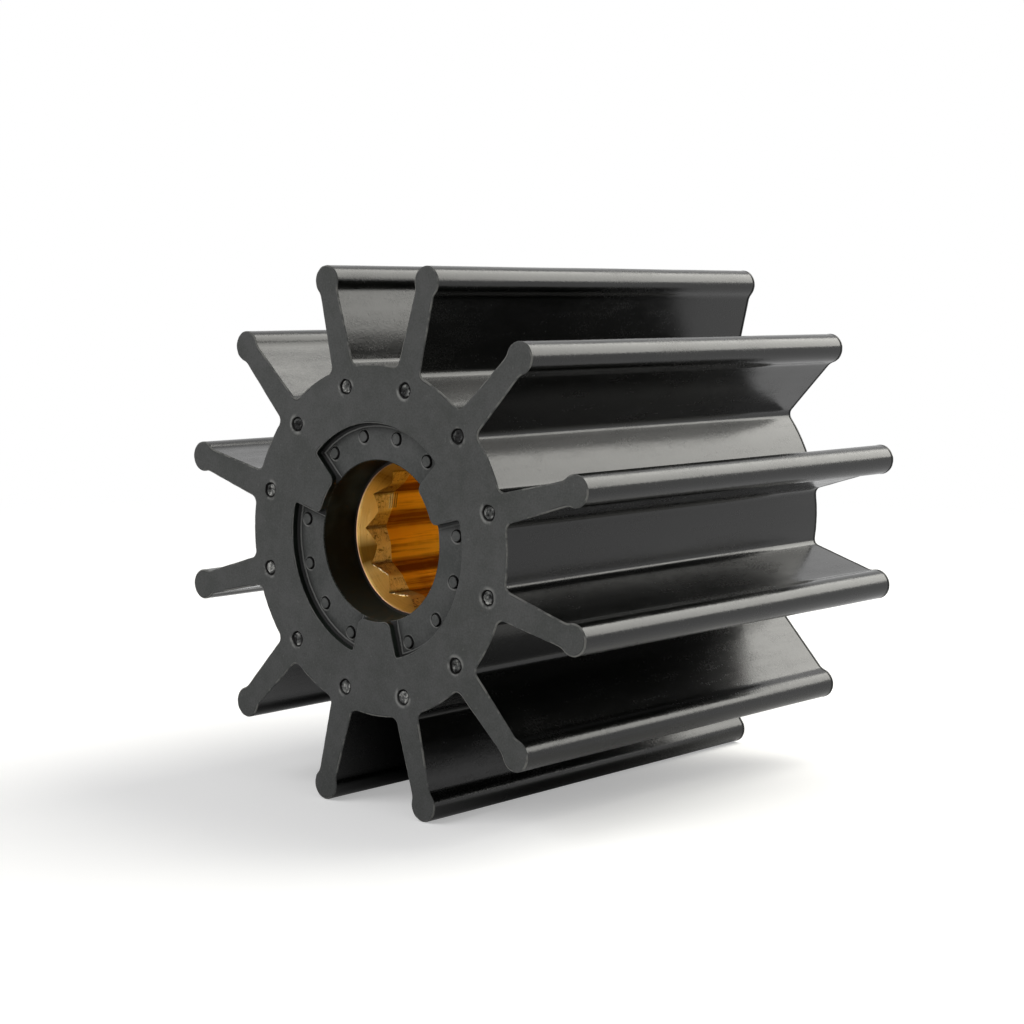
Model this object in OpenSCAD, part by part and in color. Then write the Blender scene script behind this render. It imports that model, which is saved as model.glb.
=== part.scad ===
// Flexible pump impeller: a moulded rubber wheel bonded round a splined brass sleeve.
// The shaft axis runs along Y, the recessed front face looks toward -Y, and +Z is up.
// The origin is on the axis at mid length. The wheel stands on its two lowest blade tips.
// Each piece is drawn turned up like a pot, front face on top, and laid_down() turns it
// into place, so angles are counter-clockwise from +X when the front face is looked at.

/* [Wheel] */
// Diameter over the blade tips
tip_d = 95.25; // [85:0.25:110]
// Length of hub and blades along the shaft
wheel_len = 88.9; // [60:0.1:120]
// Diameter of the hub between the blades
hub_d = 59.6; // [54:0.1:66]
// Number of blades
blade_count = 12; // [6:1:12]
// Angle of the first blade
blade_turn = 15; // [0:1:60]

/* [Blade] */
// Diameter of the round bead along a blade tip
bead_d = 5.5; // [4.8:0.1:6.5]
// Blade thickness just under the bead
neck_w = 4.3; // [3:0.1:4.6]
// Blade thickness at the hub
root_w = 5.2; // [4:0.1:6.5]
// Radius of the hollow between bead and blade
neck_fillet = 2.5; // [1.5:0.1:4]
// Radius of the fillet between blade and hub
root_fillet = 1.8; // [0.8:0.1:2.4]

/* [Front face] */
// Diameter of the shallow recess in the front face
recess_d = 39.6; // [37:0.1:44]
// Depth of the recess
recess_depth = 1.4; // [0.8:0.1:3]
// Number of raised tabs that divide the recess
tab_count = 3; // [1:1:6]
// Angle that each tab covers
tab_angle = 30; // [20:1:40]
// Angle of the first tab
tab_turn = 30; // [0:1:60]
// Radius of a tab's two inner corners
tab_corner = 1.5; // [0.5:0.1:2]

/* [Moulding marks] */
// Distance from the hub's surface in to the ring of pits, one below each blade
pit_inset = 3.3; // [2:0.1:4]
// Diameter of a pit
pit_d = 2.5; // [1.5:0.1:3.2]
// Depth of a pit
pit_depth = 0.6; // [0.3:0.05:1]
// Diameter of the torn nub left in a pit
nub_d = 1.3; // [0.6:0.1:1.4]
// Height of the nub above the bottom of its pit
nub_h = 0.45; // [0.2:0.05:0.8]
// Distance from the recess wall in to the ring of small discs on the recess floor
disc_inset = 2.05; // [1.5:0.05:3]
// Diameter of a disc
disc_d = 2.1; // [1.2:0.1:2.6]
// Height of a disc
disc_h = 0.3; // [0.1:0.05:0.5]
// Number of discs between two tabs
discs_per_field = 4; // [1:1:4]
// Angle from one disc to the next
disc_step = 25; // [15:0.5:26]

/* [Sleeve] */
// Outer diameter of the sleeve, bonded in the rubber
sleeve_d = 34; // [32:0.1:40]
// Depth of the sleeve's ends behind the rubber's end faces
sleeve_setback = 8.9; // [4:0.1:14]
// Diameter of the rubber throat in front of each end of the sleeve
throat_d = 27; // [26.4:0.1:30]
// Width of the flat rim left round the sleeve's lead-in cone
rim_w = 0.4; // [0.2:0.1:0.8]
// Angle of the lead-in cone from the shaft axis
leadin_angle = 27; // [20:1:45]

/* [Spline] */
// Number of grooves in the spline
groove_count = 12; // [10:1:14]
// Diameter over the bottoms of the grooves
groove_d = 24.7; // [23:0.1:25]
// Depth of a groove below the edges of the lands
groove_depth = 0.9; // [0.5:0.05:1.3]
// Angle of the first groove
groove_turn = 28; // [0:0.5:36]

/* [Hidden] */

// Overrun of a cut past the face that it opens on
past = 1;
// Depth to which a raised detail is rooted in what carries it
rooted = 0.5;

tip_r = tip_d / 2;
hub_r = hub_d / 2;
bead_r = bead_d / 2;
bead_ring_r = tip_r - bead_r;
throat_r = throat_d / 2;
pit_ring_r = hub_r - pit_inset;
disc_ring_r = recess_d / 2 - disc_inset;
face_z = wheel_len / 2;
floor_z = face_z - recess_depth;
pit_z = face_z - pit_depth;
sleeve_len = wheel_len - 2 * sleeve_setback;
land_d = groove_d - 2 * groove_depth;

// Hollow under the bead: centre of its circle, and where it leaves the bead
neck_x = neck_w / 2 + neck_fillet;
neck_drop = sqrt(pow(bead_r + neck_fillet, 2) - pow(neck_x, 2));
neck_y = bead_ring_r - neck_drop;
bead_share = bead_r / (bead_r + neck_fillet);
shoulder_x = neck_x * bead_share;
shoulder_y = bead_ring_r - neck_drop * bead_share;

// Fillet at the blade's root: centre of its circle, and where it meets the hub
root_x = root_w / 2 + root_fillet;
root_y = sqrt(pow(hub_r + root_fillet, 2) - pow(root_x, 2));
hub_share = hub_r / (hub_r + root_fillet);
foot_x = root_x * hub_share;
foot_y = root_y * hub_share;
foot_base_y = foot_y - 2 * rooted;

// Rounded inner corner of a tab: how far its circle laps into the throat, where its centre
// lies from the axis and from the tab's middle line, and where it leaves the tab's side
corner_lap = 0.15;
corner_ring_r = throat_r + tab_corner - corner_lap;
corner_turn = tab_angle / 2 - asin(tab_corner / corner_ring_r);
corner_end_r = sqrt(pow(corner_ring_r, 2) - pow(tab_corner, 2));

// Lead-in cone, from the rim in to the edges of the lands, and how much its overrun widens it
leadin_d = throat_d - 2 * rim_w;
leadin_slope = tan(leadin_angle);
leadin_depth = (leadin_d - land_d) / 2 / leadin_slope;
leadin_over = 2 * past * leadin_slope;

function polar(r, a) = [r * cos(a), r * sin(a)];

module laid_down() rotate([90, 0, 0]) children();

module ring_of(count, turn = 0) {
  for (i = [0 : count - 1]) rotate(turn + i * 360 / count) children();
}

// Outline of one blade, standing along +Y from inside the hub to the bead
module blade_outline() {
  translate([0, bead_ring_r]) circle(d = bead_d, $fn = 64);
  difference() {
    polygon([
      [-shoulder_x, shoulder_y], [-shoulder_x, neck_y], [shoulder_x, neck_y], [shoulder_x, shoulder_y]
    ]);
    for (side = [-1, 1]) translate([side * neck_x, neck_y]) circle(r = neck_fillet, $fn = 64);
  }
  polygon([
    [-neck_w / 2, neck_y], [-root_w / 2, root_y], [-root_w / 2, foot_base_y],
    [root_w / 2, foot_base_y], [root_w / 2, root_y], [neck_w / 2, neck_y]
  ]);
  difference() {
    polygon([
      [-root_w / 2, root_y], [-foot_x, foot_y], [-foot_x, foot_base_y],
      [foot_x, foot_base_y], [foot_x, foot_y], [root_w / 2, root_y]
    ]);
    for (side = [-1, 1]) translate([side * root_x, root_y]) circle(r = root_fillet, $fn = 64);
  }
}

// Outline of one tab: a wedge along +X whose inner corners are rounded
module tab_outline() {
  difference() {
    polygon([[0, 0], polar(recess_d, -tab_angle / 2), polar(recess_d, tab_angle / 2)]);
    for (side = [-1, 1]) difference() {
      polygon([
        polar(corner_end_r, side * tab_angle / 2), polar(corner_ring_r, side * corner_turn),
        polar(throat_r - rooted, side * corner_turn), polar(throat_r - rooted, side * tab_angle / 2)
      ]);
      translate(polar(corner_ring_r, side * corner_turn)) circle(r = tab_corner, $fn = 48);
    }
  }
}

module recess() {
  translate([0, 0, floor_z]) linear_extrude(recess_depth + past) difference() {
    circle(d = recess_d, $fn = 128);
    ring_of(tab_count, tab_turn) tab_outline();
  }
}

// Small discs on the recess floor, in a row between each two tabs
module floor_discs() {
  ring_of(tab_count, tab_turn + 180 / tab_count)
    for (k = [0 : discs_per_field - 1])
      rotate((k - (discs_per_field - 1) / 2) * disc_step)
        translate([disc_ring_r, 0, floor_z - rooted]) cylinder(h = disc_h + rooted, d = disc_d, $fn = 32);
}

module rubber_wheel() {
  color([0.2, 0.2, 0.19]) laid_down() {
    difference() {
      linear_extrude(wheel_len, center = true) {
        circle(d = hub_d, $fn = 180);
        ring_of(blade_count, blade_turn - 90) blade_outline();
      }
      cylinder(h = wheel_len + 2 * past, d = throat_d, center = true, $fn = 128);
      cylinder(h = sleeve_len, d = sleeve_d, center = true, $fn = 128);
      recess();
      ring_of(blade_count, blade_turn)
        translate([pit_ring_r, 0, pit_z]) cylinder(h = pit_depth + past, d = pit_d, $fn = 32);
    }
    ring_of(blade_count, blade_turn)
      translate([pit_ring_r, 0, pit_z - rooted]) cylinder(h = nub_h + rooted, d = nub_d, $fn = 32);
    floor_discs();
  }
}

// Star-shaped section of the splined bore, with a groove at each point
module spline_outline() {
  polygon([
    for (i = [0 : 2 * groove_count - 1])
      polar((i % 2 == 0 ? groove_d : land_d) / 2, groove_turn + i * 180 / groove_count)
  ]);
}

module brass_sleeve() {
  color([0.78, 0.6, 0.3]) laid_down() difference() {
    cylinder(h = sleeve_len, d = sleeve_d, center = true, $fn = 128);
    linear_extrude(sleeve_len + 2 * past, center = true) spline_outline();
    for (end = [0, 1]) mirror([0, 0, end])
      translate([0, 0, sleeve_len / 2 - leadin_depth - past])
        cylinder(h = leadin_depth + 2 * past, d1 = land_d - leadin_over, d2 = leadin_d + leadin_over, $fn = 128);
  }
}

rubber_wheel();
brass_sleeve();
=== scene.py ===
import math
from functools import cached_property, reduce

import bmesh
import bpy
import numpy as np
from numpy.linalg import norm
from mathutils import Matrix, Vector
from mathutils.geometry import delaunay_2d_cdt


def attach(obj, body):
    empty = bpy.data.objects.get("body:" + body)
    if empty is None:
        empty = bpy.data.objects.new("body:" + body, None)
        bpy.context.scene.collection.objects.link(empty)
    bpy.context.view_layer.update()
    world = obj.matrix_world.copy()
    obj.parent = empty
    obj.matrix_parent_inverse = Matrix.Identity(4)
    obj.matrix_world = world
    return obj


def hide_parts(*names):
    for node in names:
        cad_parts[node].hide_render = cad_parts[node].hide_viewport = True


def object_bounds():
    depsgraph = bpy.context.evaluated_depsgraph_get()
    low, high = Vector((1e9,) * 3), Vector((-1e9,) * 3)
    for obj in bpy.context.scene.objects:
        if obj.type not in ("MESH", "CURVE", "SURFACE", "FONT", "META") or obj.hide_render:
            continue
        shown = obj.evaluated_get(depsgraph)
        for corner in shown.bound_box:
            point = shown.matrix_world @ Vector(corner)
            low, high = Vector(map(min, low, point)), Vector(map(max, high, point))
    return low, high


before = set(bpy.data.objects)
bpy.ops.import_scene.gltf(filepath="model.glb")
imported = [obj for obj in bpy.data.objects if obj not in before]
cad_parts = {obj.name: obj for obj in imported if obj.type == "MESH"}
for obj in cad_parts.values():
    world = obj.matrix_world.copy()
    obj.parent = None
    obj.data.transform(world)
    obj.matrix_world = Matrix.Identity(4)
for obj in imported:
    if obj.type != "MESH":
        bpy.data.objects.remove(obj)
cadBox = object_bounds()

# A flexible pump impeller: rubber wheel with twelve beaded blades, moulded round a splined brass sleeve.
# The shaft axis is Y and the recessed front face looks toward -Y. Sizes in the dictionaries are in mm.
# Noises are given as scale per metre, detail, roughness, seed and, if any, factors for x, y and z.

scene = bpy.context.scene
mm = 0.001
circleStep = 1.25   # degrees between the points of the shared circles
seamWeld, lastWeld = 0.002 * mm, 0.001 * mm   # joining distances: sectors, and what is left
leastArea = 1e-5   # of a triangle that is kept, in square mm


# nodes: sockets that Python can calculate with

class Wire:
    def __init__(self, bench, socket):
        self.bench, self.socket = bench, socket

    def out(self, key):   # another output of the same node
        return Wire(self.bench, self.socket.node.outputs[key])

    def maths(self, operation, *values):
        return self.bench.node("ShaderNodeMath", dict(enumerate(values)), operation=operation)

    def __add__(self, other): return self.maths("ADD", self, other)
    def __sub__(self, other): return self.maths("SUBTRACT", self, other)
    def __rsub__(self, other): return self.maths("SUBTRACT", other, self)
    def __mul__(self, other): return self.maths("MULTIPLY", self, other)
    def __truediv__(self, other): return self.maths("DIVIDE", self, other)
    def __rtruediv__(self, other): return self.maths("DIVIDE", other, self)
    def __pow__(self, other): return self.maths("POWER", self, other)
    def __abs__(self): return self.maths("ABSOLUTE", self)
    __radd__, __rmul__ = __add__, __mul__

    def most(self, other): return self.maths("MAXIMUM", self, other)
    def least(self, other): return self.maths("MINIMUM", self, other)

    def sine(self): return self.maths("SINE", self)
    def cosine(self): return self.maths("COSINE", self)
    def nearest(self): return self.maths("ROUND", self)

    def ramp(self, low, high, start=0.0, end=1.0):   # smooth step from start to end between low and high
        return self.bench.node("ShaderNodeMapRange", {0: self, 1: low, 2: high, 3: start, 4: end},
                               interpolation_type="SMOOTHSTEP")


class Bench:   # lays nodes out in one tree, for shaders and for shapes
    def __init__(self, tree):
        self.tree, self.count = tree, 0

    def node(self, kind, sockets=None, out=0, **settings):
        made = self.tree.nodes.new(kind)
        made.location = (self.count % 10 * 200, -(self.count // 10) * 280)
        self.count += 1
        for name, value in settings.items():
            setattr(made, name, value)
        for key, value in (sockets or {}).items():
            for one in value if isinstance(value, list) else [value]:
                if isinstance(one, Wire):
                    self.tree.links.new(one.socket, made.inputs[key])
                else:
                    made.inputs[key].default_value = one
        return Wire(self, made.outputs[out]) if made.outputs else made

    def mixed(self, share, first, second):   # two colours, second where share is 1
        paint = lambda c: c if isinstance(c, Wire) else (*c, 1)
        return self.node("ShaderNodeMix", {0: share, 6: paint(first), 7: paint(second)}, 2, data_type="RGBA")

    def vector(self, x, y, z):
        return self.node("ShaderNodeCombineXYZ", {0: x, 1: y, 2: z})

    def vectorMath(self, operation, *values, **named):
        return self.node("ShaderNodeVectorMath", {**dict(enumerate(values)), **named}, operation=operation)

    def scaled(self, vector, amount):
        return self.vectorMath("SCALE", vector, Scale=amount)

    def noise(self, place, scale, detail, rough, seed):
        sockets = {"Vector": place, "W": seed, "Scale": scale, "Detail": detail, "Roughness": rough}
        return self.node("ShaderNodeTexNoise", sockets, noise_dimensions="4D")


# shapes: points in mm as (u, v, y), where u and v lie in the end face and y runs along the shaft

class Skin:
    def __init__(self):
        self.points, self.faces, self.kinds = [], [], []
        self.marks = {name: [] for name in ("torn", "ragged", "wavy", "loose", "dirt", "pale")}

    def add(self, points, **marks):
        first = len(self.points)
        self.points += [tuple(p) for p in points]
        for name, values in self.marks.items():
            values += [marks.get(name, 0.0)] * len(points)
        return list(range(first, len(self.points)))

    def cover(self, rows, kind=0, closed=False, inward=False):   # four-sided faces between rows of points
        for a, b in zip(rows, rows[1:]):
            ends = list(range(len(a))) + ([0] if closed else [])
            for i, j in zip(ends, ends[1:]):
                self.face([a[i], a[j], b[j], b[i]] if inward else [a[i], b[i], b[j], a[j]], kind)

    def face(self, corners, kind):
        self.faces.append(corners)
        self.kinds.append(kind)

    def fill(self, loops, spare=(), kind=0, flip=False):   # triangles between loops, through the spare points
        used = list(dict.fromkeys([i for loop in loops for i in loop] + list(spare)))
        where = {i: n for n, i in enumerate(used)}
        flat = [Vector(self.points[i][:2]) for i in used]
        edges = [(where[a], where[b]) for loop in loops for a, b in zip(loop, loop[1:] + loop[:1]) if a != b]
        spots, _, triangles, origin = delaunay_2d_cdt(flat, edges, [], 0, leastArea)[:4]
        shapes = [np.array([self.points[i][:2] for i in loop]) for loop in loops]
        for corners in triangles:
            a, b, c = (np.array(spots[corner]) for corner in corners)
            area = abs((b[0] - a[0]) * (c[1] - a[1]) - (c[0] - a[0]) * (b[1] - a[1])) / 2
            if area > leastArea and sum(encloses(shape, (a + b + c) / 3) for shape in shapes) % 2:
                chain = [used[origin[c][0]] for c in corners]
                self.face(chain[::-1] if flip else chain, kind)

    def build(self, name):
        mesh = bpy.data.meshes.new(name)
        mesh.from_pydata([(u * mm, y * mm, v * mm) for u, v, y in self.points], [], self.faces)
        for label, values in self.marks.items():
            mesh.attributes.new(label, "FLOAT", "POINT").data.foreach_set("value", values)
        mesh.attributes.new("kind", "INT", "FACE").data.foreach_set("value", self.kinds)
        return mesh


def encloses(shape, point):   # even-odd test in the plane
    x, y = shape[:, 0] - point[0], shape[:, 1] - point[1]
    nextX, nextY = np.roll(x, -1), np.roll(y, -1)
    crossing = (y > 0) != (nextY > 0)
    with np.errstate(divide="ignore", invalid="ignore"):
        reach = x - y * (nextX - x) / (nextY - y)
    return np.count_nonzero(crossing & (reach > 0)) % 2


def turned(angle):   # unit directions for angles in degrees
    angle = np.radians(np.asarray(angle, float))
    return np.stack([np.cos(angle), np.sin(angle)], -1)


def sharedArc(half):   # directions at which the sectors' circles have their points
    return turned(np.arange(-half, half + 0.01, circleStep))


def arc(centre, radius, start, end, steps):
    away = turned(np.linspace(start, end, steps + 1))
    return np.array(centre) + radius * away, away


def chain(*parts):   # joins outline parts and drops each repeated point
    return tuple(np.concatenate([p[k][min(n, 1):] for n, p in enumerate(parts)]) for k in (0, 1))


def bothSides(points, normals):   # a half outline up to the u axis and its mirror image
    flip = np.array([1, -1])
    return tuple(np.concatenate([half * flip, half[-2::-1]]) for half in (points, normals))


def level(points, y):   # plane points set at one place along the shaft or at many
    points = np.asarray(points, float)
    return np.column_stack([points, np.broadcast_to(y, len(points))])


# the wheel

wheel = {
    "tipDiameter": 95.25, "length": 88.9, "hubDiameter": 59.6, "blades": 12, "firstBlade": 15.0,
    "bead": 5.5, "neck": 4.3, "root": 5.2, "neckFillet": 2.5, "rootFillet": 1.25,
    "throat": 27.0, "sleeve": 34.0, "sleeveSetback": 8.9,
    "recess": 39.6, "tabs": 3, "firstTab": 30.0, "tabAngle": 30.0, "tabCorner": 1.5,
    "skin": 0.08,   # depth inside the solid, so that raised lips end on it
    "frontEdge": 0.2, "throatEdge": 0.14, "recessEdge": 0.12, "recessCorner": 0.45, "worn": 0.22,
    "capRadius": 22.6,   # circle where the blades' share of the front face ends
    "rows": 26, "rearPlain": 1.5,   # rows along a blade, and where they end before the rear
    # rear edge with its flash: distance from the end, depth inside the solid, raggedness
    "flash": [(0.62, 0.08, 0), (0.52, 0.18, 0), (0.42, 0.08, 0.4), (0.2, 0.02, 0.6), (0.05, 0.03, 0.6),
              (0, 0.14, 0.4)],
    "throatRows": (1.75, 3.2, 5, 7), "lipRows": [(0.3, 0.3), (0, 1)], "lipFade": 5,
    "pitInset": 3.3, "discInset": 2.05,
    "unevenness": 0.05, "raggedness": 0.1, "tear": 0.22, "stray": 0.6, "seed": 4.0,
    "noise": {
        "wavy": (55, 1, 0.55), "ragged": (900, 2, 0.55), "torn": (1700, 2.5, 0.55), "loose": (520, 1, 0.5)},
}

front, rear = -wheel["length"] / 2, wheel["length"] / 2
hubRadius, throatRadius = wheel["hubDiameter"] / 2, wheel["throat"] / 2
halfStep = 180 / wheel["blades"]
facePlane = front + wheel["skin"]


def roundedEdge(w, edge, rough):   # a front edge: place along the shaft, depth, raggedness
    return [(facePlane + edge * (1 - math.cos(t)), w["skin"] + edge * (1 - math.sin(t)), rough)
            for t in np.radians([0, 30, 60, 90])]


def bladeOutline(w):   # from the middle of the gap to the tip
    beadRadius = w["bead"] / 2
    beadRing = w["tipDiameter"] / 2 - beadRadius
    neckX = w["neck"] / 2 + w["neckFillet"]
    neckU = beadRing - math.sqrt((beadRadius + w["neckFillet"]) ** 2 - neckX ** 2)
    rootX = w["root"] / 2 + w["rootFillet"]
    rootU = math.sqrt((hubRadius + w["rootFillet"]) ** 2 - rootX ** 2)
    footAngle = math.degrees(math.atan2(rootX, rootU))
    neckAngle = math.degrees(math.atan2(neckX, beadRing - neckU))
    hub = arc((0, 0), hubRadius, halfStep, footAngle, 7)
    root, rootAway = arc((rootU, rootX), w["rootFillet"], 180 + footAngle, 270, 7)
    neck, neckAway = arc((neckU, neckX), w["neckFillet"], 270, 360 - neckAngle, 5)
    side = np.linspace(root[-1], neck[0], 10)
    along = (side[-1] - side[0]) / norm(side[-1] - side[0])
    sideAway = np.tile([-along[1], along[0]], (len(side), 1))
    bead = arc((beadRing, 0), beadRadius, 180 - neckAngle, 0, 16)
    return chain(hub, (root, -rootAway), (side, sideAway), (neck, -neckAway), bead)


pit = {   # rings from the rim in to the nub's middle
    "ringRadius": hubRadius - wheel["pitInset"], "points": 30, "kind": 1,
    "radius": [2.1, 1.95, 1.75, 1.55, 1.38, 1.31, 1.27, 1.18, 1.11, 1.04, 0.88, 0.62, 0.38, 0.16],
    "depth": [0, 0, -0.02, -0.04, -0.01, 0.13, 0.4, 0.47, 0.43, 0.25, 0.2, 0.2, 0.25, 0.18],
    "torn": [0, 0, 0.15, 0.3, 0.25, 0.2, 0, 0.2, 0.6, 1.4, 2.2, 2.6, 2.6, 2.6],
    "loose": [0, 0.1, 0.4, 0.8, 1, 1, 1, 1, 1, 1, 1, 1, 1, 1],
    # darkening in the moat, partly dirt and partly painted shade
    "dirt": [0, 0, 0, 0.05, 0.3, 0.7, 1, 1, 0.7, 0.35, 0.1, 0, 0, 0],
    # where a pale rim shows, in patches and with painted light on its lower left
    "pale": [0, 0.1, 0.6, 1, 0.8, 0.2, 0, 0, 0.2, 0.5, 0.9, 1, 1, 1],
}

levelling = (1.0, 1.4)   # a mark takes up the slope of its floor between these radii


def dimple(skin, centre, spec, depthAt):   # rings of points down into a pit or over a disc
    around = turned(np.arange(spec["points"]) * 360 / spec["points"])
    rings, middleDepth = [], depthAt(np.array([centre]))
    for n, radius in enumerate(spec["radius"]):
        spots = np.array(centre) + radius * around
        own = np.interp(radius, levelling, (0, 1))
        base = own * depthAt(spots) + (1 - own) * middleDepth
        marks = {name: spec[name][n] for name in ("torn", "loose", "dirt", "pale")}
        rings.append(skin.add(level(spots, base + spec["depth"][n]), **marks))
    skin.cover(rings, kind=spec["kind"], closed=True, inward=True)
    middle = skin.add(level([centre], middleDepth + spec["depth"][-1]), **marks)[0]
    last = rings[-1]
    for a, b in zip(last, last[1:] + last[:1]):
        skin.face([a, b, middle], spec["kind"])
    return rings[0]


def bladeSector(w):   # one blade with its part of the hub, in to the sleeve's pocket
    skin = Skin()
    points, away = bothSides(*bladeOutline(w))
    edge, back = w["frontEdge"], rear - w["skin"]
    stations = roundedEdge(w, edge, 1.0)
    plain = np.linspace(facePlane + edge, back - w["rearPlain"], w["rows"])
    stations += [(y, w["skin"], 0.0) for y in plain[1:]]
    stations += [(back - fromEnd, inset, rough) for fromEnd, inset, rough in w["flash"]]
    rows = [skin.add(level(points - away * inset, y), ragged=rough, wavy=1.0 if rough == 0 else 0.6)
            for y, inset, rough in stations]
    skin.cover(rows[:4], kind=1)
    skin.cover(rows[3:])

    brink = skin.add(level(points - away * (w["skin"] + edge + w["worn"]), facePlane), torn=0.1)
    skin.cover([brink, rows[0]], kind=1)
    rim = sharedArc(halfStep)
    cap = skin.add(level(w["capRadius"] * rim, facePlane))
    hole = dimple(skin, (pit["ringRadius"], 0), pit, lambda spots: np.full(len(spots), facePlane))
    skin.fill([brink + cap[::-1], hole], kind=1)

    edge, throat, ledge = w["throatEdge"], throatRadius + w["skin"], rear - w["sleeveSetback"]
    inward = [(throat + edge, back), (throat + edge * 0.3, back - edge * 0.3)]
    inward += [(throat, y) for y in np.linspace(back - edge, ledge, 5)]
    inward += [(w["sleeve"] / 2, y) for y in (ledge, 0, -ledge)]
    inner = [skin.add(level(radius * rim, y)) for radius, y in inward]
    rearBrink = skin.add(level(points - away * (w["flash"][-1][1] + w["worn"]), back), torn=0.1)
    skin.cover([rows[-1], rearBrink], kind=1)
    skin.fill([rearBrink + inner[0][::-1]], kind=1, flip=True)
    skin.cover(inner, kind=2)
    return skin.build("bladeSector")


disc = {   # a disc on the recess floor, with a groove round it
    "ringRadius": wheel["recess"] / 2 - wheel["discInset"], "angles": (12.5, 37.5), "points": 26, "kind": 3,
    "radius": [1.5, 1.38, 1.24, 1.15, 1.1, 1.02, 0.96, 0.93, 0.9, 0.83, 0.6, 0.36, 0.16],
    "depth": [0, -0.02, -0.08, -0.02, 0.22, 0.3, 0.22, -0.05, -0.22, -0.28, -0.28, -0.28, -0.28],
    "torn": [0, 0.1, 0.2, 0.2, 0.1, 0, 0, 0.2, 0.4, 0.5, 0.4, 0.3, 0.3],
    "loose": [0, 0.2, 0.5, 0.7, 0.7, 0.7, 0.7, 0.7, 0.7, 0.7, 0.7, 0.7, 0.7],
    # darkening in the groove, partly dirt and partly painted shade
    "dirt": [0, 0, 0, 0.3, 0.9, 1, 1, 1, 0.6, 0, 0, 0, 0],
    # where a pale rim shows, in patches and with painted light on its lower left
    "pale": [0, 0.5, 1, 0.8, 0, 0, 0, 0, 0.2, 0.3, 0.2, 0.2, 0.2],
}

recessFloor = {   # its depth, against the distance from the recess wall
    "distance": [0, 0.06, 0.15, 0.28, 0.42, 0.55, 0.7, 1.1, 1.7, 2.4],
    "depth": [1.05, 1.18, 1.28, 1.33, 1.34, 1.5, 1.56, 1.52, 1.45, 1.4],
    "seam": [3.6, 4.9],   # distances of the last points between two thirds
    # room round the floor's own points: path, throat, seam (degrees), marks
    "clear": (0.01, 0.4, 0.3, 0.12),
}


def tabOutline(w):   # from a tab's end, along its side, to mid field
    half, corner, bend = w["tabAngle"] / 2, w["tabCorner"], w["recessCorner"]
    outer, ring = w["recess"] / 2, throatRadius + w["tabCorner"]
    turn = half - math.degrees(math.asin(corner / ring))
    bendRing = outer - bend
    bendTurn = half + math.degrees(math.asin(bend / bendRing))
    endSteps = 8
    end, endAway = arc((0, 0), throatRadius, 0, turn, endSteps)
    cornerArc = arc(ring * turned(turn), corner, turn + 180, half + 90, 8)
    start, stop = math.sqrt(ring ** 2 - corner ** 2), math.sqrt(bendRing ** 2 - bend ** 2)
    side = np.outer(np.linspace(start, stop, 7), turned(half))
    sideAway = np.tile(turned(half + 90), (len(side), 1))
    bendArc, bendAway = arc(bendRing * turned(bendTurn), bend, half - 90, bendTurn, 6)
    wall, wallAway = arc((0, 0), outer, bendTurn, 180 / w["tabs"], 26)
    parts = (end, -endAway), cornerArc, (side, sideAway), (bendArc, -bendAway), (wall, -wallAway)
    return chain(*parts), endSteps


def distanceTo(path, spots):   # from each spot to the nearest piece of a path
    a, b = path[:-1], path[1:]
    step = b - a
    share = np.einsum("ijk,jk->ij", spots[:, None] - a, step) / np.maximum((step ** 2).sum(1), 1e-12)
    near = a + np.clip(share, 0, 1)[..., None] * step
    return norm(spots[:, None] - near, axis=2).min(1)


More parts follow.
